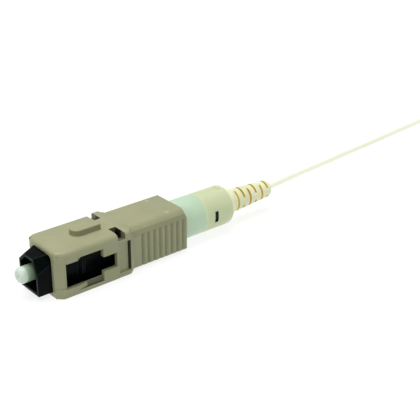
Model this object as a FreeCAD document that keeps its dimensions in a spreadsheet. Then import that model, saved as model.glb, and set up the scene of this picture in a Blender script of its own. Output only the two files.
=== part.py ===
"""SC fibre connector, field-fitted type, on a 0.9 mm buffered fibre.

Every piece is modelled in one working frame: X runs back along the ferrule axis from the grip's
front face, Y is across the key and Z is up through it.  The last step puts all of them in the
part's own frame, whose origin is the middle of the grip's underside.
"""
import FreeCAD, Part
import math
import os

import Sketcher

Vector = FreeCAD.Vector
doc = FreeCAD.newDocument("sc_fibre_connector")

# ---------------------------------------------------------------- driving sizes, millimetres
SIZES = {
    # grip: the push-pull outer sleeve
    "gripLength": 23.9, "gripWidth": 9.0, "gripHeight": 7.4,
    "frontLength": 12.65, "flareLength": 0.95,
    "rearWidth": 7.8, "rearHeight": 6.8, "rearBevelWidth": 1.15, "rearBevelDrop": 1.35,
    "rimCut": 0.25, "bottomBreak": 0.25,
    "cornerCutLength": 1.1, "cornerCutWidth": 1.0, "topRound": 0.95, "bottomRound": 0.3,
    "slideClearance": 0.1, "gripTravel": 1.6,
    # grip: latch windows and channels in the two narrow sides
    "windowStart": 1.45, "windowEnd": 7.75, "windowTop": 1.9, "windowBottom": 2.25,
    "ledgeStart": 3.3, "ledgeRamp": 1.6, "ledgeTop": 2.35, "ledgeBottom": 2.95, "ledgeDepth": 1.2,
    "lowerLedgeDepth": 0.35, "windowWall": 0.73, "pocketTop": 2.6,
    "channelDepth": 0.3, "channelTop": 2.0, "channelBottom": 2.25,
    "slotEnd": 10.15, "slotTop": 0.95, "slotBottom": 1.45,
    "panelStart": 10.55, "panelTop": 2.25, "panelBottom": 2.8, "panelDepth": 0.35,
    "panelGap": 0.33, "panelGapDepth": 1.0,
    # grip: key, top notches and finger ribs
    "keyStart": 5.05, "keyLength": 4.55, "keyWidth": 2.4, "keyHeight": 0.95, "keyRound": 0.18,
    "notchStart": 10.45, "notchLength": 1.25, "notchInner": 1.9, "notchWall": 3.15,
    "notchDepth": 1.3, "notchLip": 0.75,
    "ribStart": 15.05, "ribPitch": 1.12, "ribCount": 8, "ribWidth": 0.74, "ribFloor": 0.2,
    "ribDepth": 0.34, "ribTop": 2.12,
    # plug frame: the black inner housing
    "frameProtrusion": 2.3, "frameLength": 13.5, "frameWidth": 5.0, "frameTop": 2.8,
    "frameBottom": 3.0, "frameWall": 0.42,
    "nearCutWidth": 1.0, "nearCutDrop": 1.2, "nearLeadDrop": 2.2,
    "farCutWidth": 0.3, "farCutDrop": 0.3, "farLeadWidth": 1.6, "farLeadDrop": 1.4,
    "stopPlace": 3.2, "stopWall": 0.8, "springBore": 2.1,
    "catchStart": 4.4, "catchLength": 1.1, "catchHeight": 0.55, "catchHalf": 1.5,
    "snapInset": 1.7, "snapLength": 0.9, "snapHalf": 0.8, "snapClearance": 0.06,
    # ferrule, its stub of glass and the holder that carries them
    "ferruleRadius": 1.25, "ferruleLength": 11.2, "ferruleReach": 1.75, "ferruleTravel": 1.2,
    "ferruleChamfer": 0.3, "ferruleChamferLength": 0.35, "ferruleEdge": 0.1,
    "shankStart": 3.3, "shankRadius": 1.05,
    "glassRadius": 0.0625, "glassClearance": 0.008,
    "flangeRadius": 1.95, "flangeLength": 1.6, "flangeKeyWidth": 0.7, "flangeKeyDepth": 0.35,
    "holderRadius": 1.45, "holderEnd": 32.5, "holderWeb": 0.9, "holderWebBore": 0.3,
    "runClearance": 0.1, "fitClearance": 0.02,
    # splice: two polymer halves inside the holder
    "spliceBore": 1.0, "spliceStart": 12.0, "spliceLength": 20.0, "spliceRadius": 0.88,
    "spliceGap": 0.07, "grooveDepth": 0.1, "spliceMeet": 22.0,
    "ribKeyStart": 29.6, "ribKeyLength": 2.2, "ribKeyWidth": 0.6, "ribKeyTop": 2.42,
    "ribSlotClearance": 0.1,
    # spring
    "wireRadius": 0.15, "springRadius": 1.7, "springTurns": 4.5,
    # barrel: the rear half of the plug body
    "spigotLength": 2.2, "neckRadius": 2.5, "shoulderGap": 0.1, "barrelRadius": 3.34,
    "seamPlace": 28.7, "seamEdge": 0.08, "sleeveRadius": 2.45, "sleeveEnd": 34.4,
    "tailRadius": 1.45, "tailLength": 2.8, "snapHeight": 0.38,
    # cam collar
    "collarGap": 0.05, "collarBore": 2.5, "collarRound": 0.3, "collarEdge": 0.08,
    "toolSlotStart": 30.3, "toolSlotLength": 0.72, "toolSlotHalf": 0.93,
    "topSlotStart": 32.85, "topSlotLength": 0.8, "topSlotHalf": 0.9, "topSlotDepth": 0.45,
    "reliefDepth": 0.3, "reliefHalf": 0.6,
    # crimp tube and boot
    "tubeRadius": 0.95, "tubeBore": 0.55, "tubeInset": 0.2, "tubeLength": 5.8,
    "bootFlangeRadius": 2.83, "bootFlangeLength": 0.5, "bootRadius": 2.08,
    "bootTipRadius": 1.46, "bootEnd": 44.8, "bootTipRound": 0.6, "bootTipBore": 0.5,
    "bootTipWall": 1.3, "bootClearance": 0.05,
    "cutStart": 36.7, "cutPitch": 1.4, "cutWidth": 0.45, "cutPairs": 3, "cutWeb": 0.55,
    # fibre and its coil
    "bufferRadius": 0.45, "bufferStart": 34.1,
    "coilInner": 7.7, "coilOuter": 11.4, "coilRise": 0.3, "coilTop": 3.9,
    "coilCentreX": 103.2, "coilCentreY": -0.25,
    "tieWidth": 1.6, "tieWall": 0.25, "tieClearance": 0.05,
}
sheet = doc.addObject("Spreadsheet::Sheet", "sizes")
for row, (alias, value) in enumerate(SIZES.items(), start=1):
    sheet.set(f"A{row}", alias)
    sheet.set(f"B{row}", str(value))
    sheet.setAlias(f"B{row}", alias)
doc.recompute()


def size(expression):
    """The present value of an expression in the sheet's names."""
    return float(sheet.evalExpression(named(expression)))


def named(expression):
    """The expression with each of the sheet's names written as sizes.NAME."""
    words = []
    for word in expression.replace("(", " ( ").replace(")", " ) ").split():
        bare = word.lstrip("-")
        words.append(word.replace(bare, f"sizes.{bare}") if bare in SIZES else word)
    return " ".join(words)


def bind(thing, **sizes):
    """Tie properties of an object to expressions in the sheet's names."""
    for field, expression in sizes.items():
        thing.setExpression(field.replace("__", "."), named(expression))


# ---------------------------------------------------------------- places along the axis
FERRULE_TIP = "-frameProtrusion - ferruleReach"
FERRULE_END = "ferruleLength - frameProtrusion - ferruleReach"
FLANGE = "stopPlace + stopWall"
SPRING_SEAT = f"{FLANGE} + flangeLength"
FRAME_REAR = "frameLength - frameProtrusion"
SPIGOT = f"{FRAME_REAR} - spigotLength"
PASSAGE_END = f"{FRAME_REAR} + gripTravel + slideClearance"
SHOULDER = "gripLength + shoulderGap"
HOLDER_STOP = "holderEnd + ferruleTravel + runClearance"
TAIL_END = "sleeveEnd + tailLength"
REAR_START = "frontLength + flareLength"
SNAP = f"{FRAME_REAR} - snapInset"
PAST = "1"  # how far a cut runs out past the face that it opens

SUBPARTS = []


# ---------------------------------------------------------------- ways of making the pieces
def new_body(label):
    """A body in the working frame, bound to its place in the part's frame."""
    body = doc.addObject("PartDesign::Body", label)
    bind(body, Placement__Base__x="-frontLength / 2", Placement__Base__z="gripHeight / 2")
    SUBPARTS.append(body)
    return body


def datum(body, role):
    return next(item for item in body.Origin.OriginFeatures if item.Role == role)


def new_sketch(body, name, role, offset):
    sketch = body.newObject("Sketcher::SketchObject", name)
    sketch.AttachmentSupport = [(datum(body, role), "")]
    sketch.MapMode = "FlatFace"
    bind(sketch, AttachmentOffset__Base__z=offset)
    return sketch


def hold(sketch, kind, value, *where):
    """Add one driving size to a sketch and tie it to the sheet."""
    index = sketch.addConstraint(Sketcher.Constraint(kind, *where, size(value)))
    sketch.setExpression(f"Constraints[{index}]", named(value))


def outline(body, name, role, *loops, offset="0"):
    """A sketch of closed straight-sided loops, each corner held by its two places."""
    sketch = new_sketch(body, name, role, offset)
    for loop in loops:
        first = sketch.GeometryCount
        corners = [Vector(size(u), size(v), 0) for u, v in loop]
        for start, end in zip(corners, corners[1:] + corners[:1]):
            sketch.addGeometry(Part.LineSegment(start, end), False)
        for step, (u, v) in enumerate(loop):
            line = first + step
            before = first + (step - 1) % len(loop)
            sketch.addConstraint(Sketcher.Constraint("Coincident", before, 2, line, 1))
            hold(sketch, "DistanceX", u, -1, 1, line, 1)
            hold(sketch, "DistanceY", v, -1, 1, line, 1)
    return sketch


def disc(body, name, radius, offset):
    """A sketch of one circle about the axis, across it at a place."""
    sketch = new_sketch(body, name, "YZ_Plane", offset)
    sketch.addGeometry(Part.Circle(Vector(0, 0, 0), Vector(0, 0, 1), size(radius)), False)
    sketch.addConstraint(Sketcher.Constraint("Coincident", 0, 3, -1, 1))
    hold(sketch, "Radius", radius, 0)
    return sketch


def feature(body, kind, name, sketch, length=None, both_ways=False):
    """Pad or Pocket of a sketch, to a length or, when none is given, through everything."""
    made = body.newObject(f"PartDesign::{kind}", name)
    made.Profile = sketch
    if both_ways:
        made.SideType = "Symmetric"
    if length is None:
        made.Type = "ThroughAll"
    else:
        bind(made, Length=length)
    body.Tip = made
    return made


def across(expression, *, minus=False):
    return f"-( {expression} )" if minus else expression


def both_sides(loop):
    """The loop and its mirror image in the second coordinate."""
    return loop, [(u, across(v, minus=True)) for u, v in loop]


def slab_cut(body, name, loops, low, high):
    """Cut a top-view outline away between two heights."""
    sketch = outline(body, f"{name}_outline", "XY_Plane", *loops, offset=high)
    return feature(body, "Pocket", name, sketch, f"{high} - ( {low} )")


def cross_cut(body, name, loops, start, end):
    """Cut an end-view outline away between two places along the axis."""
    sketch = outline(body, f"{name}_outline", "YZ_Plane", *loops, offset=end)
    return feature(body, "Pocket", name, sketch, f"{end} - ( {start} )")


def side_cut(body, name, *loops):
    """Cut a side-view outline right through."""
    sketch = outline(body, f"{name}_outline", "XZ_Plane", *loops)
    return feature(body, "Pocket", name, sketch, both_ways=True)


def bore(body, name, radius, start, end):
    sketch = disc(body, f"{name}_outline", radius, end)
    return feature(body, "Pocket", name, sketch, f"{end} - ( {start} )")


def rod(body, name, radius, start, end):
    sketch = disc(body, f"{name}_outline", radius, start)
    return feature(body, "Pad", name, sketch, f"{end} - ( {start} )")


def turned(body, name, *points):
    """A solid of revolution about the axis from places along it and radii."""
    made = body.newObject("PartDesign::Revolution", name)
    made.Profile = outline(body, f"{name}_outline", "XY_Plane", list(points))
    made.ReferenceAxis = (datum(body, "X_Axis"), [""])
    made.Angle = 360
    body.Tip = made
    return made


def repeated(body, name, original, pitch, count):
    """The same cut again and again along the axis."""
    made = body.newObject("PartDesign::LinearPattern", name)
    made.Originals = [original]
    made.Direction = (datum(body, "X_Axis"), [""])
    bind(made, Length=f"{pitch} * ( {count} - 1 )", Occurrences=count)
    body.Tip = made
    return made


def rounded(body, name, radius, wanted):
    """Round the edges whose middle point and vertices pass a test."""
    doc.recompute()
    base = body.Tip
    edges = [f"Edge{number}" for number, edge in enumerate(base.Shape.Edges, start=1) if wanted(edge)]
    made = body.newObject("PartDesign::Fillet", name)
    made.Base = (base, edges)
    bind(made, Radius=radius)
    body.Tip = made
    return made


def near(value, expression):
    return abs(value - size(expression)) < 1e-4


# ---------------------------------------------------------------- grip
grip = new_body("grip")
front = [("0", "gripWidth / 2 - cornerCutWidth"), ("cornerCutLength", "gripWidth / 2"),
         ("notchStart", "gripWidth / 2")]
plan = front + [(u, across(v, minus=True)) for u, v in reversed(front)]
feature(grip, "Pad", "front_block", outline(grip, "front_plan", "XY_Plane", plan),
        "gripHeight", both_ways=True)


def long_edges(height):
    """A test for the edges that run back along the grip's two sides at a height."""
    def wanted(edge):
        middle = edge.CenterOfMass
        return near(abs(middle.y), "gripWidth / 2") and near(middle.z, height)
    return wanted


rounded(grip, "top_rounds", "topRound", long_edges("gripHeight / 2"))
rounded(grip, "bottom_rounds", "bottomRound", long_edges("-gripHeight / 2"))


def grip_section(name, width, height, bevel_width, bevel_drop, place):
    """End view of the grip: near top corner bevelled, the other three broken."""
    def half(cut_width, cut_drop):
        return [(f"{width} / 2 - bottomBreak", f"-{height} / 2"),
                (f"{width} / 2", f"-{height} / 2 + bottomBreak"),
                (f"{width} / 2", f"{height} / 2 - {cut_drop}"),
                (f"{width} / 2 - {cut_width}", f"{height} / 2")]

    near_half = [(across(u, minus=True), v) for u, v in reversed(half(bevel_width, bevel_drop))]
    return outline(grip, name, "YZ_Plane", half("rimCut", "rimCut") + near_half, offset=place)


rim = grip_section("rim_section", "gripWidth", "gripHeight", "rimCut", "rimCut", "notchStart")
feature(grip, "Pad", "rim_block", rim, "frontLength - notchStart")
flare = grip.newObject("PartDesign::AdditiveLoft", "flare")
flare.Profile = grip_section("flare_front", "gripWidth", "gripHeight", "rimCut", "rimCut",
                             "frontLength")
flare.Sections = [grip_section("flare_rear", "rearWidth", "rearHeight", "rearBevelWidth",
                               "rearBevelDrop", REAR_START)]
flare.Ruled = True
grip.Tip = flare
rear_section = grip_section("rear_section", "rearWidth", "rearHeight", "rearBevelWidth",
                            "rearBevelDrop", REAR_START)
feature(grip, "Pad", "rear_block", rear_section, f"gripLength - ( {REAR_START} )")

notch = [("notchInner", f"gripHeight / 2 + {PAST}"), ("notchInner", "gripHeight / 2 - notchDepth"),
         ("notchWall", "gripHeight / 2 - notchDepth"),
         (f"gripWidth / 2 + {PAST}", "gripHeight / 2 - notchLip"),
         (f"gripWidth / 2 + {PAST}", f"gripHeight / 2 + {PAST}")]
mirrored_notch = [(across(u, minus=True), v) for u, v in notch]
cross_cut(grip, "notches", [notch, mirrored_notch], "notchStart", "notchStart + notchLength")

passage_half = "frameWidth / 2 + slideClearance"
passage_low = "-frameBottom - slideClearance"
passage_high = "frameTop + slideClearance"
cross_cut(grip, "passage",
          [[(across(passage_half, minus=True), passage_low), (passage_half, passage_low),
            (passage_half, passage_high), (across(passage_half, minus=True), passage_high)]],
          f"-{PAST}", PASSAGE_END)
bore(grip, "rear_bore", "neckRadius + slideClearance", FRAME_REAR, f"gripLength + {PAST}")

side_cut(grip, "windows",
         [("windowStart", "-windowBottom"), ("windowEnd", "-windowBottom"),
          ("windowEnd", "-slotBottom"), ("slotEnd", "-slotBottom"), ("slotEnd", "slotTop"),
          ("windowEnd", "slotTop"), ("windowEnd", "windowTop"), ("windowStart", "windowTop")])
side = "gripWidth / 2"
pocket_half = f"{side} - windowWall"
cross_cut(grip, "side_pockets",
          [[(across(pocket_half, minus=True), passage_low), (pocket_half, passage_low),
            (pocket_half, "pocketTop"), (across(pocket_half, minus=True), "pocketTop")]],
          "windowStart", "slotEnd")


def ledge(depth):
    """Plan of a step beside a window, ramped at its front."""
    return [("ledgeStart", f"{side} + {PAST}"), ("ledgeStart", side),
            ("ledgeStart + ledgeRamp", f"{side} - {depth}"), ("windowEnd", f"{side} - {depth}"),
            ("windowEnd", f"{side} + {PAST}")]


slab_cut(grip, "upper_ledges", both_sides(ledge("ledgeDepth")), "0", "ledgeTop")
slab_cut(grip, "lower_ledges", both_sides(ledge("lowerLedgeDepth")), "-ledgeBottom", "0")
channel = [(f"-{PAST}", f"{side} + {PAST}"), (f"-{PAST}", f"{side} - cornerCutWidth - channelDepth"),
           ("0", f"{side} - cornerCutWidth - channelDepth"),
           ("cornerCutLength", f"{side} - channelDepth"), ("windowStart", f"{side} - channelDepth"),
           ("windowStart", f"{side} + {PAST}")]
slab_cut(grip, "channels", both_sides(channel), "-channelBottom", "channelTop")
panel = [("panelStart", f"{side} + {PAST}"), ("panelStart", f"{side} - panelDepth"),
         ("frontLength - panelGap", f"{side} - panelDepth"),
         ("frontLength - panelGap", f"{side} - panelGapDepth"),
         ("frontLength", f"{side} - panelGapDepth"), ("frontLength", f"{side} + {PAST}")]
slab_cut(grip, "panels", both_sides(panel), "-panelBottom", "panelTop")

rear_side = "rearWidth / 2"
groove = [("ribStart", f"{rear_side} + ribDepth"), ("ribStart", rear_side),
          ("ribStart + ( ribWidth - ribFloor ) / 2", f"{rear_side} - ribDepth"),
          ("ribStart + ( ribWidth + ribFloor ) / 2", f"{rear_side} - ribDepth"),
          ("ribStart + ribWidth", rear_side), ("ribStart + ribWidth", f"{rear_side} + ribDepth")]
first_groove = slab_cut(grip, "first_grooves", both_sides(groove), f"-rearHeight / 2 - {PAST}", "ribTop")
repeated(grip, "finger_grooves", first_groove, "ribPitch", "ribCount")

key_root = "frameTop + slideClearance + fitClearance"
key_turn = "keyStart + keyWidth / 2"
key_corners = [(key_turn, "keyWidth / 2"), ("keyStart + keyLength", "keyWidth / 2"),
               ("keyStart + keyLength", "-keyWidth / 2"), (key_turn, "-keyWidth / 2")]
key_outline = new_sketch(grip, "key_outline", "XY_Plane", key_root)
corners = [Vector(size(u), size(v), 0) for u, v in key_corners]
for start, end in zip(corners, corners[1:]):
    key_outline.addGeometry(Part.LineSegment(start, end), False)
nose = Part.Circle(Vector(size(key_turn), 0, 0), Vector(0, 0, 1), size("keyWidth / 2"))
key_outline.addGeometry(Part.ArcOfCircle(nose, math.pi / 2, 3 * math.pi / 2), False)
for joint in ((0, 2, 1, 1), (1, 2, 2, 1), (2, 2, 3, 2), (3, 1, 0, 1)):
    key_outline.addConstraint(Sketcher.Constraint("Coincident", *joint))
for line, end, (u, v) in ((0, 1, key_corners[0]), (0, 2, key_corners[1]), (2, 1, key_corners[2]),
                          (2, 2, key_corners[3])):
    hold(key_outline, "DistanceX", u, -1, 1, line, end)
    hold(key_outline, "DistanceY", v, -1, 1, line, end)
hold(key_outline, "DistanceX", key_turn, -1, 1, 3, 3)
feature(grip, "Pad", "key", key_outline, f"gripHeight / 2 + keyHeight - ( {key_root} )")
rounded(grip, "key_rounds", "keyRound",
        lambda edge: near(edge.CenterOfMass.z, "gripHeight / 2 + keyHeight"))

# ---------------------------------------------------------------- plug frame
plug_frame = new_body("plug_frame")
frame_half = "frameWidth / 2"


def frame_section(name, near_drop, far_width, far_drop, place):
    """End view of the plug frame: square below, its two top corners cut off."""
    loop = [(across(frame_half, minus=True), "-frameBottom"), (frame_half, "-frameBottom"),
            (frame_half, f"frameTop - {far_drop}"), (f"{frame_half} - {far_width}", "frameTop"),
            (f"nearCutWidth - {frame_half}", "frameTop"),
            (across(frame_half, minus=True), f"frameTop - {near_drop}")]
    return outline(plug_frame, name, "YZ_Plane", loop, offset=place)


lead_in = plug_frame.newObject("PartDesign::AdditiveLoft", "lead_in")
lead_in.Profile = frame_section("lead_front", "nearLeadDrop", "farLeadWidth", "farLeadDrop",
                                "-frameProtrusion")
lead_in.Sections = [frame_section("lead_rear", "nearCutDrop", "farCutWidth", "farCutDrop", "0")]
lead_in.Ruled = True
plug_frame.Tip = lead_in
feature(plug_frame, "Pad", "frame_block",
        frame_section("frame_block_section", "nearCutDrop", "farCutWidth", "farCutDrop", "0"),
        FRAME_REAR)
inner_half = f"{frame_half} - frameWall"
cavity = [(across(inner_half, minus=True), "frameWall - frameBottom"),
          (inner_half, "frameWall - frameBottom"),
          (inner_half, "frameTop - farLeadDrop - frameWall / 2"),
          (f"{inner_half} - farLeadWidth + frameWall / 2", "frameTop - frameWall"),
          (f"nearCutWidth - {frame_half} + frameWall / 2", "frameTop - frameWall"),
          (across(inner_half, minus=True), "frameTop - nearLeadDrop - frameWall / 2")]
cross_cut(plug_frame, "front_cavity", [cavity], f"-frameProtrusion - {PAST}", "stopPlace")
bore(plug_frame, "ferrule_hole", "ferruleRadius + runClearance", "stopPlace", FLANGE)
bore(plug_frame, "spring_bore", "springBore", FLANGE, FRAME_REAR)
catch = [("catchStart", f"{frame_half} - frameWall / 2"), ("catchStart", frame_half),
         ("catchStart + catchLength / 2", f"{frame_half} + catchHeight"),
         ("catchStart + catchLength", f"{frame_half} + catchHeight"),
         ("catchStart + catchLength", f"{frame_half} - frameWall / 2")]
feature(plug_frame, "Pad", "latch_catches",
        outline(plug_frame, "catch_outline", "XY_Plane", *both_sides(catch)),
        "2 * catchHalf", both_ways=True)
side_cut(plug_frame, "snap_windows",
         [(SNAP, "-snapHalf"), (f"{SNAP} + snapLength", "-snapHalf"),
          (f"{SNAP} + snapLength", "snapHalf"), (SNAP, "snapHalf")])

# ---------------------------------------------------------------- ferrule and its glass stub
ferrule = new_body("ferrule")
glass_bore = "glassRadius + glassClearance"
turned(ferrule, "ferrule_body", (FERRULE_TIP, glass_bore),
       (FERRULE_TIP, "ferruleRadius - ferruleChamfer"),
       (f"{FERRULE_TIP} + ferruleChamferLength", "ferruleRadius"), ("shankStart", "ferruleRadius"),
       ("shankStart", "shankRadius"), (f"{FERRULE_END} - ferruleChamfer", "shankRadius"),
       (FERRULE_END, "shankRadius - ferruleChamfer"), (FERRULE_END, glass_bore))


def polished_edge(edge):
    """The rim of the polished end face."""
    return near(edge.CenterOfMass.x, FERRULE_TIP) and edge.Length > size("ferruleRadius * 3")


rounded(ferrule, "polished_rim", "ferruleEdge", polished_edge)


def glass(label, start, end):
    """A bare length of glass fibre on the axis."""
    body = new_body(label)
    rod(body, label + "_length", "glassRadius", start, end)
    return body


glass("stub_fibre", FERRULE_TIP, "spliceMeet")

# ---------------------------------------------------------------- ferrule holder
holder = new_body("ferrule_holder")
WEB_END = f"{FERRULE_END} + holderWeb"
shank_bore = "shankRadius + fitClearance"
turned(holder, "holder_body", (FLANGE, shank_bore), (FLANGE, "flangeRadius"),
       (SPRING_SEAT, "flangeRadius"), (SPRING_SEAT, "holderRadius"),
       ("holderEnd", "holderRadius"), ("holderEnd", "spliceBore"), (WEB_END, "spliceBore"),
       (WEB_END, "holderWebBore"), (FERRULE_END, "holderWebBore"),
       (FERRULE_END, shank_bore))
keyway = [("flangeRadius - flangeKeyDepth", "-flangeKeyWidth / 2"),
          (f"flangeRadius + {PAST}", "-flangeKeyWidth / 2"),
          (f"flangeRadius + {PAST}", "flangeKeyWidth / 2"),
          ("flangeRadius - flangeKeyDepth", "flangeKeyWidth / 2")]
far_keyway = [(across(u, minus=True), v) for u, v in keyway]
cross_cut(holder, "keyways", [keyway, far_keyway], FLANGE, SPRING_SEAT)
rib_half = "ribKeyWidth / 2 + ribSlotClearance"
rib_start = "ribKeyStart - ribSlotClearance"
rib_end = "ribKeyStart + ribKeyLength + ribSlotClearance"
rib_slot = [(rib_start, across(rib_half, minus=True)), (rib_end, across(rib_half, minus=True)),
            (rib_end, rib_half), (rib_start, rib_half)]
slab_cut(holder, "rib_slot", [rib_slot], "0", f"holderRadius + {PAST}")

# ---------------------------------------------------------------- splice halves
splice_end = "spliceStart + spliceLength"
bed_radius = "spliceBore - fitClearance"
bed = new_body("splice_bed")
rod(bed, "bed_rod", bed_radius, "spliceStart", splice_end)
upper = [(f"-spliceBore - {PAST}", "0"), (f"spliceBore + {PAST}", "0"),
         (f"spliceBore + {PAST}", f"spliceBore + {PAST}"),
         (f"-spliceBore - {PAST}", f"spliceBore + {PAST}")]
cross_cut(bed, "bed_face", [upper], "spliceStart", splice_end)
vee = [("-2 * grooveDepth", "grooveDepth"), ("0", "-grooveDepth"), ("2 * grooveDepth", "grooveDepth")]
cross_cut(bed, "fibre_groove", [vee], "spliceStart", splice_end)

cap = new_body("splice_cap")
rod(cap, "cap_rod", "spliceRadius", "spliceStart", splice_end)
lower = [(f"-spliceBore - {PAST}", "spliceGap"), (f"-spliceBore - {PAST}", f"-spliceBore - {PAST}"),
         (f"spliceBore + {PAST}", f"-spliceBore - {PAST}"), (f"spliceBore + {PAST}", "spliceGap")]
cross_cut(cap, "cap_face", [lower], "spliceStart", splice_end)
rib = [("-ribKeyWidth / 2", "spliceRadius / 2"), ("ribKeyWidth / 2", "spliceRadius / 2"),
       ("ribKeyWidth / 2", "ribKeyTop"), ("-ribKeyWidth / 2", "ribKeyTop")]
feature(cap, "Pad", "cam_rib", outline(cap, "cam_rib_outline", "YZ_Plane", rib, offset="ribKeyStart"),
        "ribKeyLength")
glass("bare_fibre", "spliceMeet", "bufferStart")

# ---------------------------------------------------------------- barrel
barrel = new_body("barrel")
spigot_radius = "springBore - fitClearance"
holder_bore = "holderRadius + runClearance"
tube_seat = "tubeRadius + fitClearance"
turned(barrel, "barrel_body", (SPIGOT, holder_bore), (SPIGOT, spigot_radius),
       (FRAME_REAR, spigot_radius), (FRAME_REAR, "neckRadius"), (SHOULDER, "neckRadius"),
       (SHOULDER, "barrelRadius - seamEdge"), (f"{SHOULDER} + seamEdge", "barrelRadius"),
       ("seamPlace - seamEdge", "barrelRadius"), ("seamPlace", "barrelRadius - seamEdge"),
       ("seamPlace", "sleeveRadius"), ("sleeveEnd", "sleeveRadius"), ("sleeveEnd", "tailRadius"),
       (TAIL_END, "tailRadius"), (TAIL_END, tube_seat), (HOLDER_STOP, tube_seat),
       (HOLDER_STOP, holder_bore))
snap_front, snap_rear = f"{SNAP} + snapClearance", f"{SNAP} + snapLength - snapClearance"
snap = [(snap_front, "springBore - frameWall"), (snap_front, "springBore"),
        (snap_rear, "springBore + snapHeight - fitClearance"),
        (snap_rear, "springBore - frameWall")]
feature(barrel, "Pad", "snap_lugs", outline(barrel, "snap_outline", "XY_Plane", *both_sides(snap)),
        "2 * ( snapHalf - snapClearance )", both_ways=True)
slide_end = f"{rib_end} + ferruleTravel"
cam_window = [(rib_start, across(rib_half, minus=True)), (slide_end, across(rib_half, minus=True)),
              (slide_end, rib_half), (rib_start, rib_half)]
slab_cut(barrel, "cam_window", [cam_window], "0", f"sleeveRadius + {PAST}")
tool_slot = [("toolSlotStart", "-toolSlotHalf"), ("toolSlotStart + toolSlotLength", "-toolSlotHalf"),
             ("toolSlotStart + toolSlotLength", "toolSlotHalf"), ("toolSlotStart", "toolSlotHalf")]
side_cut(barrel, "sleeve_windows", tool_slot)

# ---------------------------------------------------------------- cam collar
collar = new_body("cam_collar")
collar_start = "seamPlace + collarGap"
collar_end = "sleeveEnd - collarGap"
turned(collar, "collar_body", (collar_start, "collarBore"),
       (collar_start, "barrelRadius - collarEdge"), (f"{collar_start} + collarEdge", "barrelRadius"),
       (collar_end, "barrelRadius"), (collar_end, "collarBore"))
rounded(collar, "rear_round", "collarRound",
        lambda edge: near(edge.CenterOfMass.x, collar_end) and edge.Length > size("6 * collarBore + 1.5"))
side_cut(collar, "tool_slots", tool_slot)
top_slot = [("topSlotStart", "-topSlotHalf"), ("topSlotStart + topSlotLength", "-topSlotHalf"),
            ("topSlotStart + topSlotLength", "topSlotHalf"), ("topSlotStart", "topSlotHalf")]
slab_cut(collar, "top_slot", [top_slot], "barrelRadius - topSlotDepth", f"barrelRadius + {PAST}")
relief = [("0", "-reliefHalf"), ("collarBore + reliefDepth", "-reliefHalf"),
          ("collarBore + reliefDepth", "reliefHalf"), ("0", "reliefHalf")]
cross_cut(collar, "cam_relief", [relief], f"{rib_start} - ribSlotClearance",
          f"{slide_end} + ribSlotClearance")

# ---------------------------------------------------------------- crimp tube and boot
tube = new_body("crimp_tube")
tube_start = "sleeveEnd + tubeInset"
rod(tube, "tube_rod", "tubeRadius", tube_start, f"{tube_start} + tubeLength")
bore(tube, "tube_bore", "tubeBore", tube_start, f"{tube_start} + tubeLength")

boot = new_body("boot")
flange_end = "sleeveEnd + bootFlangeLength"
turned(boot, "boot_body", ("sleeveEnd", "tailRadius + bootClearance"),
       ("sleeveEnd", "bootFlangeRadius"), (flange_end, "bootFlangeRadius"), (flange_end, "bootRadius"),
       ("bootEnd", "bootTipRadius"), ("bootEnd", "bootTipBore"),
       ("bootEnd - bootTipWall", "bootTipBore"),
       ("bootEnd - bootTipWall", "tubeRadius + bootClearance"),
       (f"{TAIL_END} + bootClearance", "tubeRadius + bootClearance"),
       (f"{TAIL_END} + bootClearance", "tailRadius + bootClearance"))
rounded(boot, "tip_round", "bootTipRound",
        lambda edge: near(edge.CenterOfMass.x, "bootEnd") and edge.Length > size("6 * bootTipBore + 1"))
reach = f"bootRadius + {PAST}"


def boot_cuts(name, role, place):
    """A row of cuts from both sides, that leave a web between them."""
    cut = [(f"{place} - cutWidth / 2", "cutWeb"), (f"{place} + cutWidth / 2", "cutWeb"),
           (f"{place} + cutWidth / 2", reach), (f"{place} - cutWidth / 2", reach)]
    sketch = outline(boot, f"{name}_outline", role, *both_sides(cut))
    first = feature(boot, "Pocket", f"first_{name}", sketch, both_ways=True)
    repeated(boot, name, first, "2 * cutPitch", "cutPairs")


boot_cuts("side_cuts", "XY_Plane", "cutStart")
boot_cuts("top_cuts", "XZ_Plane", "cutStart + cutPitch")

# ---------------------------------------------------------------- buffered fibre inside the boot
inner = new_body("buffered_fibre")
rod(inner, "inner_buffer", "bufferRadius", "bufferStart", "bootEnd")

# ---------------------------------------------------------------- ferrule spring
spring = doc.addObject("Part::Feature", "ferrule_spring")
wire_radius, spring_radius = size("wireRadius"), size("springRadius")
spring_length = size(f"{SPIGOT} - ( {SPRING_SEAT} ) - 2 * wireRadius - 2 * fitClearance")
pitch = spring_length / size("springTurns")
half_turn = Part.Wire(Part.makeHelix(pitch, pitch / 2, spring_radius).Edges)
wire_end = Part.makeCircle(wire_radius, Vector(spring_radius, 0, 0),
                           Vector(0, 2 * math.pi * spring_radius, pitch))
half = half_turn.makePipeShell([Part.Wire([wire_end])], True, True)
halves = []
for step in range(round(2 * size("springTurns"))):
    halves.append(half.copy())
    halves[-1].Placement = FreeCAD.Placement(Vector(0, 0, step * pitch / 2),
                                             FreeCAD.Rotation(Vector(0, 0, 1), 180 * step))
spring.Shape = halves[0].multiFuse(halves[1:]).Solids[0]
spring.Placement = FreeCAD.Placement(
    Vector(size(f"{SPRING_SEAT} + wireRadius + fitClearance - frontLength / 2"), 0,
           size("gripHeight / 2")),
    FreeCAD.Rotation(Vector(0, 1, 0), 90))
SUBPARTS.append(spring)

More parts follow.
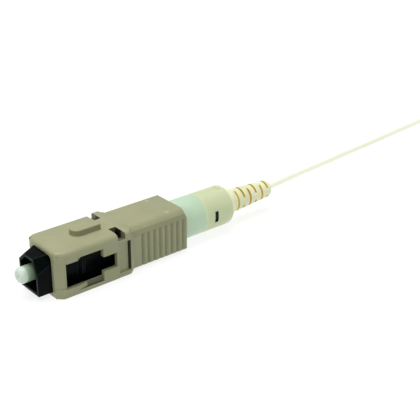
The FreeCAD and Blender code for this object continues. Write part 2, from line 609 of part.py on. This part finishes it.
# ---------------------------------------------------------------- free fibre
# Places where the fibre's straight runs would meet, back from the boot's mouth in the part's frame.
# It leaves straight, sags to the table and runs out over it to the first turn of its coil.
ROUTE = [(38.475, 0, 3.7), (42.3, 0.4, 3.65), (47.6, 2.1, 2.9), (53.7, 4.25, 1.75),
         (60.7, 6.4, 0.72), (68.3, 7.6, 0.45), (77.2, 8.3, 0.45), (86.2, 9.2, 0.45),
         (94.6, 10.0, 0.46), (102.25, 10.66, 0.75)]
route = [Vector(*point) for point in ROUTE]
runs = [(end - start).Length for start, end in zip(route, route[1:])]
edges, last, radii = [], route[0], []
for step in range(1, len(route) - 1):
    back = (route[step - 1] - route[step]).normalize()
    onward = (route[step + 1] - route[step]).normalize()
    half_turn = (math.pi - back.getAngle(onward)) / 2
    reach = 0.45 * min(runs[step - 1], runs[step])
    radius = reach / math.tan(half_turn)
    radii.append(round(radius, 1))
    entry, leaving = route[step] + back * reach, route[step] + onward * reach
    middle = (back + onward).normalize()
    crown = route[step] + middle * (radius / math.cos(half_turn) - radius)
    edges += [Part.LineSegment(last, entry).toShape(), Part.Arc(entry, crown, leaving).toShape()]
    last = leaving
edges.append(Part.LineSegment(last, route[-1]).toShape())
path = Part.Wire(edges)
buffer_radius = size("bufferRadius")
mouth = Part.Wire([Part.makeCircle(buffer_radius, route[0], route[1] - route[0])])
lead = doc.addObject("Part::Feature", "fibre_lead")
lead.Shape = path.makePipeShell([mouth], True, False)
SUBPARTS.append(lead)
print("fibre_lead bend radii in mm:", radii, "length", round(path.Length, 2))
print("fibre_lead volume against section x length:",
      round(lead.Shape.Volume / (math.pi * buffer_radius ** 2 * path.Length), 4))

# ---------------------------------------------------------------- coil and its two ties
coil = doc.addObject("PartDesign::Body", "fibre_coil")
bind(coil, Placement__Base__x="coilCentreX", Placement__Base__y="coilCentreY")
SUBPARTS.append(coil)
coil_ring = coil.newObject("PartDesign::Revolution", "coil_ring")
coil_ring.Profile = outline(coil, "coil_section", "XZ_Plane",
                            [("coilInner", "coilRise"), ("coilOuter", "coilRise"),
                             ("coilOuter", "coilTop"), ("coilInner", "coilTop")])
coil_ring.ReferenceAxis = (datum(coil, "Z_Axis"), [""])
coil_ring.Angle = 360
coil.Tip = coil_ring


def coil_tie(label, side):
    """A flat band round the bundle of turns, on one side of the coil."""
    body = doc.addObject("PartDesign::Body", label)
    bind(body, Placement__Base__x="coilCentreX", Placement__Base__y="coilCentreY - tieWidth / 2")
    SUBPARTS.append(body)
    inside = [(f"{side} * ( coilInner - tieClearance )", "coilRise - tieClearance"),
              (f"{side} * ( coilOuter + tieClearance )", "coilRise - tieClearance"),
              (f"{side} * ( coilOuter + tieClearance )", "coilTop + tieClearance"),
              (f"{side} * ( coilInner - tieClearance )", "coilTop + tieClearance")]
    low, high = "coilRise - tieClearance - tieWall", "coilTop + tieClearance + tieWall"
    near_side = f"{side} * ( coilInner - tieClearance - tieWall )"
    far_side = f"{side} * ( coilOuter + tieClearance + tieWall )"
    outside = [(near_side, low), (far_side, low), (far_side, high), (near_side, high)]
    band = outline(body, label + "_section", "XZ_Plane", outside, inside)
    made = feature(body, "Pad", label + "_band", band, "tieWidth")
    made.Reversed = True


coil_tie("coil_tie_1", "-1")
coil_tie("coil_tie_2", "1")

# ---------------------------------------------------------------- checks and export
doc.recompute()
for item in doc.Objects:
    if {"Invalid", "Error"} & set(item.State):
        raise RuntimeError(f"{item.Label}: {item.State}")
os.makedirs("parts", exist_ok=True)
for subpart in SUBPARTS:
    shape = subpart.Shape
    if shape.isNull() or not shape.isValid() or len(shape.Solids) != 1:
        raise RuntimeError(f"{subpart.Label}: not one valid solid")
    shape.exportStep(f"parts/{subpart.Label}.step")
    box = shape.optimalBoundingBox(True, False)
    print(f"{subpart.Label}: {shape.Volume:.2f} mm3, x {box.XMin:.2f} {box.XMax:.2f}, "
          f"y {box.YMin:.2f} {box.YMax:.2f}, z {box.ZMin:.2f} {box.ZMax:.2f}")
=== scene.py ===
from math import cos, pi, radians, sin

import bmesh
import bpy
from mathutils import Matrix, Vector


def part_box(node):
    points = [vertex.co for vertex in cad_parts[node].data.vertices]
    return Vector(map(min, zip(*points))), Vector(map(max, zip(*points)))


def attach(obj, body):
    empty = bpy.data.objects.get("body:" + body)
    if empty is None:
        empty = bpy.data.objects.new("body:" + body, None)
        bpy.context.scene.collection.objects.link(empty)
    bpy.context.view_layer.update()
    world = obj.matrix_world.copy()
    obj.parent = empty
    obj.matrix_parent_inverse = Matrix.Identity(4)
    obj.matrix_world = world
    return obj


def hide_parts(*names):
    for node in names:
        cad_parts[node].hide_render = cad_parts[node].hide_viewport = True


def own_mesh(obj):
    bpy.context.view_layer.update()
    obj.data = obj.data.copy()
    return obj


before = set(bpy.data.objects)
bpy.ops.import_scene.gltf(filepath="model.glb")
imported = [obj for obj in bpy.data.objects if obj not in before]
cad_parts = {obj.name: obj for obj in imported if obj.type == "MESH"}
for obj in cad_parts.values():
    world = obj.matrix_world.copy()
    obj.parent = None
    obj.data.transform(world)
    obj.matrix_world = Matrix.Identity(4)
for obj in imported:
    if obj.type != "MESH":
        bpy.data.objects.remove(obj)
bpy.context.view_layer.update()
MM = 0.001
AXIS_HEIGHT = 3.7  # from the table to the ferrule's axis, in millimetres
AXIS = Vector((0, 0, AXIS_HEIGHT * MM))

# ---------------------------------------------------------------- ferrule
# A cylinder of white zirconia ceramic, ground true, with a chamfered nose and a polished end.
# A stub of bare glass fibre is cemented in its fine hole.


def new_finish(name, roughness):
    """A fresh material with its nodes, its links, its shader and the object's own coordinates."""
    made = bpy.data.materials.new(name)
    made.use_nodes = True
    nodes, links = made.node_tree.nodes, made.node_tree.links
    shader = nodes["Principled BSDF"]
    shader.inputs["Roughness"].default_value = roughness
    place = nodes.new("ShaderNodeTexCoord").outputs["Object"]
    return made, nodes, links, shader, place


def noise(nodes, links, place, scale, detail=3.0):
    """Fractal noise in space, scale in cells to the metre."""
    made = nodes.new("ShaderNodeTexNoise")
    made.inputs["Scale"].default_value = scale
    made.inputs["Detail"].default_value = detail
    links.new(place, made.inputs["Vector"])
    return made.outputs["Fac"]


def spread(nodes, links, value, low, high, start=0.35, end=0.65):
    """A value's middle range carried onto low to high."""
    made = nodes.new("ShaderNodeMapRange")
    limits = {"From Min": start, "From Max": end, "To Min": low, "To Max": high}
    for socket, number in limits.items():
        made.inputs[socket].default_value = number
    links.new(value, made.inputs["Value"])
    return made.outputs["Result"]


def blended(nodes, links, share, first, second):
    """Two colours, or the outputs that carry them, mixed by a share."""
    made = nodes.new("ShaderNodeMix")
    made.data_type = "RGBA"
    links.new(share, made.inputs["Factor"])
    for socket, colour in zip((made.inputs[6], made.inputs[7]), (first, second)):
        if isinstance(colour, bpy.types.NodeSocket):
            links.new(colour, socket)
        else:
            socket.default_value = colour
    return made.outputs[2]


def distance(nodes, links, place, spot):
    """How far a point is from a spot, both in metres."""
    made = nodes.new("ShaderNodeVectorMath")
    made.operation = "DISTANCE"
    links.new(place, made.inputs[0])
    made.inputs[1].default_value = spot
    return made.outputs["Value"]


def dented(nodes, links, shader, height, depth):
    """Relief of a real depth, in metres, in a shader's surface."""
    made = nodes.new("ShaderNodeBump")
    made.inputs["Distance"].default_value = depth
    links.new(height, made.inputs["Height"])
    links.new(made.outputs["Normal"], shader.inputs["Normal"])


def tint(red, green, blue, shade=1.0):
    """A colour as it is seen, 0 to 255, as the shader's linear one, dimmed to a share by shade."""
    return tuple((level / 255) ** 2.2 * shade for level in (red, green, blue)) + (1.0,)


def place_piece(form, name, material, body, slot, *nodes, sharp=28):
    """The finished form as an object: shaded, painted, tied to its body, in place of its nodes."""
    mesh = bpy.data.meshes.new(name)
    form.to_mesh(mesh)
    form.free()
    mesh.materials.append(material)
    mesh.shade_smooth()
    mesh.set_sharp_from_angle(angle=radians(sharp))
    piece = bpy.data.objects.new(name, mesh)
    bpy.context.collection.objects.link(piece)
    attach(piece, body)
    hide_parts(*nodes)
    return piece


def turned(outline):
    """A form spun about the ferrule's axis from (place along it, radius) in millimetres."""
    form = bmesh.new()
    points = [form.verts.new((x * MM, 0, AXIS.z + radius * MM)) for x, radius in outline]
    for start, end in zip(points, points[1:] + points[:1]):
        form.edges.new((start, end))
    bmesh.ops.spin(form, geom=form.verts[:] + form.edges[:], cent=AXIS, axis=(1, 0, 0),
                   angle=2 * pi, steps=96, use_merge=True, use_duplicate=False)
    bmesh.ops.recalc_face_normals(form, faces=form.faces)
    return form


def translucent(shader, share, reach):
    """Let light travel a reach, in millimetres, under a pale surface."""
    shader.inputs["Subsurface Weight"].default_value = share
    shader.inputs["Subsurface Radius"].default_value = (reach * MM, reach * MM, reach * MM * 0.8)
    shader.inputs["Subsurface Scale"].default_value = 1.0


tip, tail = (corner.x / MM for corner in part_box("ferrule"))
zirconia, nodes, links, shader, place = new_finish("polished zirconia", 0.16)
cloud = noise(nodes, links, place, 900)
body = blended(nodes, links, spread(nodes, links, cloud, 0, 1), tint(206, 215, 204),
               tint(191, 203, 190))
# Painted light and shade: the colour darkens from the nose back towards the frame as painted shade
# of the shroud, the nose has a painted glow as a highlight, an emission that fades behind it, and
# the end face is darker towards its centre.
axes = nodes.new("ShaderNodeSeparateXYZ")
links.new(place, axes.inputs["Vector"])
nose_start, nose_end = (tip + 0.75) * MM, (tip + 1.15) * MM
for start, end, shaded in ((nose_start, nose_end, tint(168, 188, 164)),
                           ((tip + 1.0) * MM, (tip + 2.7) * MM, tint(82, 100, 72))):
    depth = spread(nodes, links, axes.outputs["X"], 0, 1, start, end)
    body = blended(nodes, links, depth, body, shaded)
off_centre = distance(nodes, links, place, (tip * MM, 0, AXIS.z))
centre_share = spread(nodes, links, off_centre, 0.45, 0, 0.15 * MM, 0.7 * MM)
body = blended(nodes, links, centre_share, body, tint(150, 168, 160))
links.new(body, shader.inputs["Base Color"])
links.new(body, shader.inputs["Emission Color"])
links.new(spread(nodes, links, axes.outputs["X"], 0.3, 0.06, nose_start, nose_end),
          shader.inputs["Emission Strength"])
ground = noise(nodes, links, place, 14000, 2)
links.new(spread(nodes, links, ground, 0.12, 0.24), shader.inputs["Roughness"])
dented(nodes, links, shader, ground, 1.5e-6)
translucent(shader, 0.35, 0.6)
BORE, FACE, PIN, SHANK, LEAD_IN = 0.071, 0.92, 1.25, 1.05, 0.78  # radii in millimetres
pin_end = tip + 7.3
place_piece(turned([(tip, BORE), (tip, FACE), (tip + 0.02, FACE + 0.035),
                    (tip + 0.33, PIN - 0.015), (tip + 0.37, PIN), (pin_end, PIN),
                    (pin_end + 0.05, SHANK), (tail - 0.25, SHANK), (tail, LEAD_IN), (tail, BORE)]),
            "ferrule_body", zirconia, "ferrule", "ceramic", "ferrule", sharp=18)


def repaint(material, *names):
    """Give CAD pieces whose shape is right a better finish."""
    for name in names:
        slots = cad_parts[name].data.materials
        slots.clear()
        slots.append(material)


def yielding(node, name, material, slot):
    """A copy of a CAD piece that the ferrule presses against the part behind it."""
    form = bmesh.new()
    form.from_mesh(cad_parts[node].data)
    bmesh.ops.remove_doubles(form, verts=form.verts, dist=1e-7)
    piece = place_piece(form, name, material, "ferrule", slot, node)
    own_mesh(piece)


fibre_glass, nodes, links, shader, place = new_finish("bare glass fibre", 0.05)
core = noise(nodes, links, place, 30000, 1)
links.new(blended(nodes, links, spread(nodes, links, core, 0, 1), tint(150, 170, 160),
                  tint(120, 142, 134)), shader.inputs["Base Color"])
shader.inputs["Transmission Weight"].default_value = 0.5
repaint(fibre_glass, "stub_fibre")
yielding("bare_fibre", "fibre_in_splice", fibre_glass, "glass_fibre")

# ---------------------------------------------------------------- ferrule holder, splice and spring
# A turned metal holder grips the ferrule's shank and carries the two moulded splice halves,
# which press the two bare fibres into one line.  A drawn steel spring sits behind its flange.

turned_metal, nodes, links, shader, place = new_finish("turned holder metal", 0.36)
shader.inputs["Metallic"].default_value = 1.0
stretch = nodes.new("ShaderNodeMapping")
stretch.inputs["Scale"].default_value = (30, 1, 1)
links.new(place, stretch.inputs["Vector"])
lathe = noise(nodes, links, stretch.outputs["Vector"], 700, 4)
links.new(blended(nodes, links, spread(nodes, links, lathe, 0, 1), tint(104, 100, 88),
                  tint(78, 76, 66)), shader.inputs["Base Color"])
links.new(spread(nodes, links, lathe, 0.22, 0.42), shader.inputs["Roughness"])
dented(nodes, links, shader, lathe, 4e-6)
repaint(turned_metal, "ferrule_holder")

spring_wire, nodes, links, shader, place = new_finish("drawn spring wire", 0.28)
shader.inputs["Metallic"].default_value = 1.0
draw = noise(nodes, links, place, 6000, 4)
links.new(blended(nodes, links, spread(nodes, links, draw, 0, 1), tint(176, 176, 176),
                  tint(128, 128, 132)), shader.inputs["Base Color"])
links.new(spread(nodes, links, draw, 0.2, 0.4), shader.inputs["Roughness"])
yielding("ferrule_spring", "spring_coil", spring_wire, "spring_steel")

splice_polymer, nodes, links, shader, place = new_finish("clear splice polymer", 0.2)
haze = noise(nodes, links, place, 1500)
links.new(blended(nodes, links, spread(nodes, links, haze, 0, 1), tint(224, 226, 216),
                  tint(206, 210, 200)), shader.inputs["Base Color"])
dented(nodes, links, shader, haze, 4e-6)
repaint(splice_polymer, "splice_bed", "splice_cap")

# ---------------------------------------------------------------- plug frame
# The inner housing, moulded in black polymer.  Its front is a square shroud round the
# ferrule with two cut corners, and a catch on each side takes the adapter's latches.


def softened(node, width, broad=None, broad_width=0.0, deep=None, splits=()):
    """A CAD piece as one skin.  Its edges are rounded, those that broad picks by broad_width, and
    the rounded faces marked for a painted highlight.  Faces are split at the places across that
    splits gives, and deep marks by their centre and normal those to be painted as shade."""
    form = bmesh.new()
    form.from_mesh(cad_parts[node].data)
    highlight_layer, shade_layer = (form.faces.layers.float.new(layer) for layer in ("edge", "deep"))
    bmesh.ops.remove_doubles(form, verts=form.verts, dist=1e-7)
    bmesh.ops.dissolve_limit(form, angle_limit=radians(0.4), verts=form.verts, edges=form.edges,
                             use_dissolve_boundaries=False)
    if broad:
        picked = [edge for edge in form.edges
                  if broad((edge.verts[0].co + edge.verts[1].co) / 2 / MM,
                           (edge.verts[1].co - edge.verts[0].co) / MM)]
        bmesh.ops.bevel(form, geom=picked, affect="EDGES", offset=broad_width * MM, segments=6,
                        profile=0.5, material=-1, clamp_overlap=False)
    corners = [edge for edge in form.edges
               if len(edge.link_faces) == 2 and edge.calc_face_angle(0) > radians(30)]
    bevelled = bmesh.ops.bevel(form, geom=corners, affect="EDGES", offset=width * MM,
                               segments=2, profile=0.5, material=-1, clamp_overlap=True)
    for face in bevelled["faces"]:
        face[highlight_layer] = 1.0
    for across in splits:
        everything = form.verts[:] + form.edges[:] + form.faces[:]
        bmesh.ops.bisect_plane(form, geom=everything, dist=1e-7, plane_co=(0, across * MM, 0),
                               plane_no=(0, 1, 0))
    if deep:
        for face in form.faces:
            face[shade_layer] = deep(face.calc_center_median() / MM, face.normal)
    return form


def moulded(name, body_colour, drift_colour, highlight_colour, shade_colour, roughness, glow=0.0):
    """Moulded polymer: a slow random drift of tone, fine spark grain, edges painted paler as a
    highlight and recesses painted darker as shade.  Pale translucent ones also get a painted glow,
    an emission of their own colour, in place of the light that scatters inside them."""
    made, nodes, links, shader, place = new_finish(name, roughness)
    colour = blended(nodes, links, spread(nodes, links, noise(nodes, links, place, 260, 4), 0, 1),
                     body_colour, drift_colour)
    for layer, marked_colour in (("edge", highlight_colour), ("deep", shade_colour)):
        mark = nodes.new("ShaderNodeAttribute")
        mark.attribute_name = layer
        colour = blended(nodes, links, mark.outputs["Fac"], colour, marked_colour)
    links.new(colour, shader.inputs["Base Color"])
    if glow:
        links.new(colour, shader.inputs["Emission Color"])
        shader.inputs["Emission Strength"].default_value = glow
    grain = noise(nodes, links, place, 9000, 3)
    links.new(spread(nodes, links, grain, roughness * 0.8, roughness * 1.25),
              shader.inputs["Roughness"])
    dented(nodes, links, shader, grain, 2.5e-6)
    return made, shader


# Its rounded edges are painted a paler teal as a highlight.
frame_black, shader = moulded("black housing polymer", tint(6, 10, 10), tint(11, 17, 17),
                              tint(36, 56, 54), tint(4, 5, 5), 0.38)
shader.inputs["Specular IOR Level"].default_value = 0.06
place_piece(softened("plug_frame", 0.06), "inner_housing", frame_black, "housing", "frame",
            "plug_frame")

# ---------------------------------------------------------------- barrel
# The rear half of the plug body, moulded in pale aqua polymer.  Its spigot snaps into the plug
# frame inside the grip, and the cam collar turns on its slimmer rear sleeve.


def off_axis(place):
    """How far a place is from the ferrule's axis, in millimetres."""
    return Vector((place.y, place.z - AXIS_HEIGHT)).length


# Its rounded edges are painted paler as a highlight, and it has a painted glow: an emission of its
# own colour at 0.36.
mint, shader = moulded("aqua barrel polymer", tint(178, 196, 172), tint(172, 191, 166),
                       tint(196, 212, 190), tint(14, 18, 16), 0.34, glow=0.36)
translucent(shader, 0.8, 2.0)


def barrel_shade_in_grip(place, normal):
    """The slim front of the barrel inside the grip, painted near-black as shade."""
    return float(place.x < 17 and off_axis(place) < 2.75)


place_piece(softened("barrel", 0.05, deep=barrel_shade_in_grip), "rear_barrel", mint, "housing", "mint",
            "barrel")

# ---------------------------------------------------------------- cam collar
# A ring of the same polymer that turns a quarter on the barrel and so clamps the splice.
# A tool slot goes in on each side, and a shallow one marks the top.

# Its rounded edges are painted paler as a highlight, and it has a painted glow: an emission of its
# own colour at 0.34.
collar_mint, shader = moulded("aqua collar polymer", tint(190, 193, 160), tint(184, 188, 154),
                              tint(206, 208, 178), tint(20, 20, 8), 0.34, glow=0.34)
translucent(shader, 0.8, 2.0)


# Spans along, out to either side and up, in millimetres, as within takes them.
TOOL_SLOT = (23.9, 24.8), (2.52, 3.28), (AXIS_HEIGHT - 0.96, AXIS_HEIGHT + 0.96)


def within(place, spans):
    """Whether a place lies in three spans."""
    return all(low < value < high
               for value, (low, high) in zip((place.x, abs(place.y), place.z), spans))


def tool_slot_shade(place, normal):
    """The walls of the slots through the collar's two sides, painted dark as shade."""
    return float(within(place, TOOL_SLOT))


place_piece(softened("cam_collar", 0.05, deep=tool_slot_shade), "splice_collar", collar_mint,
            "cam_collar", "mint_collar", "cam_collar")

# ---------------------------------------------------------------- crimp tube and boot
# A soft metal tube is crimped round the buffered fibre, and a tapered elastomer boot slides
# over it.  Cuts from alternate sides let the boot bend.

crimp_metal, nodes, links, shader, place = new_finish("crimped soft metal", 0.35)
shader.inputs["Metallic"].default_value = 1.0
tarnish = noise(nodes, links, place, 2500, 4)
links.new(blended(nodes, links, spread(nodes, links, tarnish, 0, 1), tint(201, 172, 104),
                  tint(168, 138, 76)), shader.inputs["Base Color"])
links.new(spread(nodes, links, tarnish, 0.28, 0.5), shader.inputs["Roughness"])
dented(nodes, links, shader, tarnish, 8e-6)
repaint(crimp_metal, "crimp_tube")

BOOT_START, BOOT_RADIUS, BOOT_TAPER = 28.7, 2.08, 0.0637
FIRST_CUT, LAST_CUT, CUT_EDGE = 30.2, 38.1, 0.07
# Its rounded edges are painted paler as a highlight, and it has a painted glow: an emission of its
# own colour at 0.4.
boot_rubber, shader = moulded("pale boot elastomer", tint(212, 212, 182), tint(205, 205, 170),
                              tint(225, 224, 190), tint(180, 150, 62), 0.42, glow=0.4)
translucent(shader, 0.6, 0.8)


def boot_cut_shade(place, normal):
    """The walls of the boot's cuts, inside its tapered skin, painted a darker gold as shade."""
    skin = BOOT_RADIUS - (place.x - BOOT_START) * BOOT_TAPER
    return float(FIRST_CUT < place.x < LAST_CUT and off_axis(place) < skin - CUT_EDGE
                 and abs(normal.x) > 0.5)


place_piece(softened("boot", 0.04, deep=boot_cut_shade), "strain_boot", boot_rubber, "housing",
            "boot", "boot")

# ---------------------------------------------------------------- fibre and its coil
# A glass fibre in a tight 0.9 mm polymer buffer.  It sags from the boot to the table, and the
# rest of its metre is wound into a neat coil that two moulded bands hold.

ROUTE = [(38.475, 0, 3.7), (42.3, 0.4, 3.65), (47.6, 2.1, 2.9), (53.7, 4.25, 1.75),
         (60.7, 6.4, 0.72), (68.3, 7.6, 0.45), (77.2, 8.3, 0.45), (86.2, 9.2, 0.45),
         (94.6, 10.0, 0.46), (102.25, 10.66, 0.75)]
BUFFER = 0.9
TURNS, STEPS = 15.6, 16  # turns of the coil, and points to each
COLUMNS, ROWS, PITCH = 4, 4, 0.93
START_ANGLE, CLIMB = radians(95), 0.25  # the last share of a turn climbs to the next lay
coil_low, coil_high = (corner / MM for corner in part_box("fibre_coil"))
centre = (coil_low + coil_high) / 2
outermost = (coil_high.x - coil_low.x) / 2 - BUFFER / 2
lay = [(outermost - (column if row % 2 == 0 else COLUMNS - 1 - column) * PITCH,
        coil_low.z + BUFFER / 2 + row * BUFFER) for row in range(ROWS) for column in range(COLUMNS)]
wind = []
for step in range(1, int(TURNS * STEPS)):
    turn, share = divmod(step / STEPS, 1)
    here, onward = lay[int(turn)], lay[min(int(turn) + 1, len(lay) - 1)]
    shift = max(0.0, (share - 1 + CLIMB) / CLIMB)
    radius, height = (a + (b - a) * shift for a, b in zip(here, onward))
    angle = START_ANGLE - 2 * pi * step / STEPS
    wind.append((centre.x + radius * cos(angle), centre.y + radius * sin(angle), height))
line = bpy.data.curves.new("buffered_fibre_line", "CURVE")
line.dimensions = "3D"
line.resolution_u = 6
line.bevel_depth = BUFFER / 2 * MM
line.bevel_resolution = 5
line.use_fill_caps = True
spline = line.splines.new("NURBS")
spline.points.add(len(ROUTE) + len(wind) - 1)
for point, (x, y, z) in zip(spline.points, ROUTE + wind):
    point.co = (x * MM, y * MM, z * MM, 1)
spline.order_u = 3
spline.use_endpoint_u = True

buffer_polymer, nodes, links, shader, place = new_finish("tight buffer polymer", 0.32)
streak = noise(nodes, links, place, 1400, 4)
# The base is dimmed to 0.42 and the buffer gets a painted glow, an emission of its own colour at
# 0.56, which flattens its shading.
links.new(blended(nodes, links, spread(nodes, links, streak, 0, 1), tint(252, 255, 232, 0.42),
                  tint(244, 250, 220, 0.42)), shader.inputs["Base Color"])
links.new(spread(nodes, links, streak, 0.26, 0.4), shader.inputs["Roughness"])
dented(nodes, links, shader, noise(nodes, links, place, 11000, 2), 2e-6)
translucent(shader, 0.3, 0.5)
shader.inputs["Emission Color"].default_value = tint(251, 255, 232)
shader.inputs["Emission Strength"].default_value = 0.56
line.materials.append(buffer_polymer)
fibre = bpy.data.objects.new("free_fibre", line)
bpy.context.collection.objects.link(fibre)
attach(fibre, "housing")
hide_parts("fibre_lead", "fibre_coil")
repaint(buffer_polymer, "buffered_fibre")

tie_polymer, nodes, links, shader, place = new_finish("white tie polymer", 0.4)
fleck = noise(nodes, links, place, 3000)
links.new(blended(nodes, links, spread(nodes, links, fleck, 0, 1), tint(236, 236, 230),
                  tint(224, 225, 219)), shader.inputs["Base Color"])
dented(nodes, links, shader, fleck, 5e-6)
repaint(tie_polymer, "coil_tie_1", "coil_tie_2")

# ---------------------------------------------------------------- grip
# The push-pull outer sleeve, moulded in grey-green polymer.  It slides over the plug frame and
# barrel, its key stands on top, and finger ribs run down both sides at the back.

# Its rounded edges are painted paler as a highlight, and its hollows darker, to near-black, as
# shade.
grip_polymer, shader = moulded("grey-green grip polymer", tint(174, 169, 134), tint(167, 163, 128),
                               tint(188, 184, 148), tint(12, 16, 10), 0.36)
colour = shader.inputs["Base Color"].links[0].from_socket
nodes, links = grip_polymer.node_tree.nodes, grip_polymer.node_tree.links
place = nodes.new("ShaderNodeTexCoord").outputs["Object"]
GATE_MARKS = (14.9, -2.2, 7.1), (14.9, 3.0, 7.1)  # where the polymer went into the mould
for mark in GATE_MARKS:
    away = distance(nodes, links, place, Vector(mark) * MM)
    share = spread(nodes, links, away, 0.6, 0, 0.15 * MM, 0.5 * MM)
    colour = blended(nodes, links, share, colour, tint(205, 196, 164))
links.new(colour, shader.inputs["Base Color"])


# Limits of the edges that are rounded broadly, in millimetres.
BACK_START, NEAR_SIDE, TOP_CORNER, LONG_EDGE = 7.5, -2.5, 7.0, 5
FRONT_RIM, RIM_SIDE, RIM_FOOT, RIM_TOP = -5.2, 3.3, 6.0, 6.9


def broad_round(place, run):
    """The long near top corner of the back, and the upper rim of the front."""
    back_corner = (place.x > BACK_START and place.y < NEAR_SIDE and place.z > TOP_CORNER
                   and abs(run.x) > LONG_EDGE)
    upper_rim = (place.x < FRONT_RIM and place.z > RIM_FOOT
                 and (abs(place.y) > RIM_SIDE or place.z > RIM_TOP))
    return back_corner or upper_rim


# Spans of the grip's hollows painted dark as shade, in millimetres.
NOTCH = (4.1, 5.42), (1.88, 9), (5.9, 7.3)
SIDE_GROOVE = (5.98, 6.34), (3.4, 4.42), (0.8, 6.4)
RIB_GROOVES = (8.6, 17.4), (3.5, 3.87), (-1, 9)
LOWER_LEDGE = (-1.42, 1.42), (4.0, 4.4), (0.7, 1.44)
NOTCH_SHADE, WINDOW_SHADE = 3.35, 3.8  # how far out the darkest painted shade reaches
WINDOW = (-4.9, 3.9), (-1, WINDOW_SHADE), (0.5, 6.4)
KEY_FOOT = 7.45


def in_shade(place, normal):
    """How dark the painted shade lies on the notches, side grooves, rib grooves, key's walls and
    inner window walls; in the rib grooves it is darkest on the slopes turned from the light.
    """
    if place.z > KEY_FOOT and abs(normal.z) < 0.3:
        return 0.3
    if within(place, NOTCH):
        wall = abs(place.y) > NOTCH_SHADE or abs(normal.y) > 0.9
        return 0.6 if wall else 0.97
    if within(place, SIDE_GROOVE):
        return 0.75
    if within(place, RIB_GROOVES) and abs(normal.y) > 0.05:
        return 0.5 if normal.x > 0.2 else 0.25 if normal.x > -0.2 else 0.0
    if within(place, LOWER_LEDGE):
        return 0.75
    return float(within(place, WINDOW))


place_piece(softened("grip", 0.08, broad=broad_round, broad_width=0.5, deep=in_shade,
                     splits=(-WINDOW_SHADE, -NOTCH_SHADE, NOTCH_SHADE, WINDOW_SHADE)),
            "push_pull_grip", grip_polymer, "grip", "grip", "grip")

# ---------------------------------------------------------------- table, light and camera
# A white table lit by one broad soft lamp overhead and a weaker one in front, as in a studio.

board = bmesh.new()
bmesh.ops.create_grid(board, x_segments=1, y_segments=1, size=1.2)
table_mesh = bpy.data.meshes.new("table_top")
board.to_mesh(table_mesh)
board.free()
table_white, nodes, links, shader, place = new_finish("white table", 0.8)
shader.inputs["Base Color"].default_value = (0.27, 0.27, 0.27, 1)
seen = nodes.new("ShaderNodeLightPath")
either = nodes.new("ShaderNodeMath")
either.operation = "MAXIMUM"
links.new(seen.outputs["Is Camera Ray"], either.inputs[0])
links.new(seen.outputs["Is Glossy Ray"], either.inputs[1])
direct = either.outputs["Value"]
links.new(spread(nodes, links, direct, 0.32, 0.8, 0, 1), shader.inputs["Emission Strength"])
links.new(blended(nodes, links, direct, (0.88, 1, 0.92, 1), (1, 1, 1, 1)),
          shader.inputs["Emission Color"])
table_mesh.materials.append(table_white)
table = bpy.data.objects.new("table_top", table_mesh)
bpy.context.collection.objects.link(table)

scene = bpy.context.scene
scene.view_settings.view_transform = "Standard"
scene.world = bpy.data.worlds.new("studio")
scene.world.use_nodes = True
nodes, links = scene.world.node_tree.nodes, scene.world.node_tree.links
sky = nodes["Background"]
seen = nodes.new("ShaderNodeLightPath")
direct = seen.outputs["Is Camera Ray"]
links.new(blended(nodes, links, direct, (0.87, 1, 0.95, 1), (1, 1, 1, 1)), sky.inputs["Color"])
links.new(spread(nodes, links, direct, 0.42, 1.0, 0, 1), sky.inputs["Strength"])


def soft_lamp(name, power, width, place, aim):
    """A square area lamp at a place, in metres, turned to its aim."""
    lamp = bpy.data.lights.new(name, "AREA")
    lamp.energy, lamp.size = power, width
    holder = bpy.data.objects.new(name, lamp)
    holder.location = place
    holder.rotation_euler = (Vector(aim) - Vector(place)).to_track_quat("-Z", "Y").to_euler()
    bpy.context.collection.objects.link(holder)


soft_lamp("overhead_lamp", 1.0, 0.3, (-0.02, 0.06, 0.36), (0.01, 0, 0))
soft_lamp("front_lamp", 0.12, 0.25, (-0.25, -0.2, 0.15), (0.01, 0, 0.003))

CAMERA_PLACE = (-65.615 * MM, -107.25 * MM, 70.68 * MM)
HEADING, PITCH_DOWN, ROLL = -40.39, 25.563, 0.439  # degrees
camera = bpy.data.objects.new("camera", bpy.data.cameras.new("camera"))
camera.data.sensor_width = 36
camera.data.lens = 80.84
camera.data.clip_start, camera.data.clip_end = 0.01, 10
camera.matrix_world = (Matrix.Translation(CAMERA_PLACE)
                       @ Matrix.Rotation(radians(HEADING), 4, "Z")
                       @ Matrix.Rotation(radians(90 - PITCH_DOWN), 4, "X")
                       @ Matrix.Rotation(radians(ROLL), 4, "Z"))
bpy.context.collection.objects.link(camera)
scene.camera = camera
